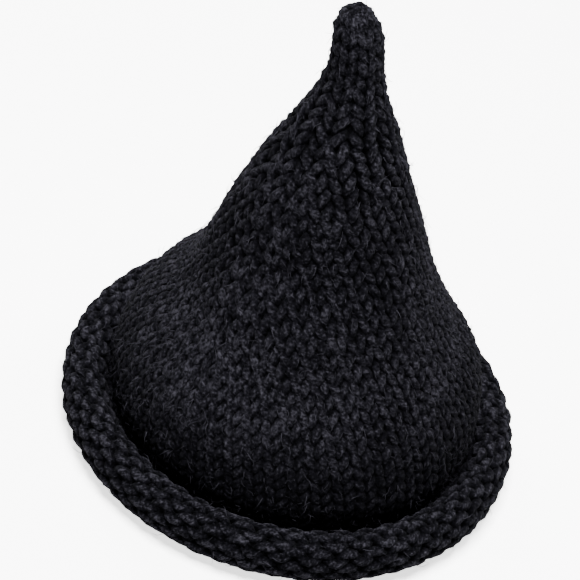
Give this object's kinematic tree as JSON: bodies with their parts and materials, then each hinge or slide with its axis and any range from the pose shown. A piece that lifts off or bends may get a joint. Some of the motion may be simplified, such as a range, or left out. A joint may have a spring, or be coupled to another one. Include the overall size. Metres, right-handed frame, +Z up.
{
  "type": "knitted witch hat",
  "caption": "Chunky knitted witch hat: a round stockinette crown with a rolled brim, a tall soft peak that leans to one side and a small drawn-up tip that flops.",
  "frame": {"origin": "centre of the head opening, on the plane that the underside of the rolled brim rests on", "axes": "+Z up through the crown, -X the side that the peak leans to at rest, +Y the back, where the label is sewn in"},
  "size_m": [0.249, 0.249, 0.2738],
  "materials": {
    "yarn": "matt, slightly fuzzy, two-ply chunky wool blend",
    "label_tape": "plain satin tape, blank",
    "sewing_thread": "fine twisted sewing thread"
  },
  "bodies": {
    "crown": {"brim_roll": "yarn", "cast_on_edge": "yarn", "cast_on_tail": "yarn", "crown_band": "yarn", "crown_shoulder": "yarn", "care_label": "label_tape", "label_stitches": "sewing_thread"},
    "peak": {"peak_cone": "yarn"},
    "tip": {"tip_knob": "yarn", "tip_gather": "yarn", "closing_tail": "yarn"}
  },
  "joints": [
    {"name": "peak_lean", "type": "hinge", "parent": "crown", "child": "peak", "pos_m": [-0.00195, 0, 0.1299], "axis": [0, 1, 0], "range_deg": [-45, 45], "stiffness_Nm_per_rad": 0.1},
    {"name": "tip_flop", "type": "hinge", "parent": "peak", "child": "tip", "pos_m": [-0.01269, 0, 0.23938], "axis": [0, 1, 0], "range_deg": [-50, 50], "stiffness_Nm_per_rad": 0.01}
  ]
}
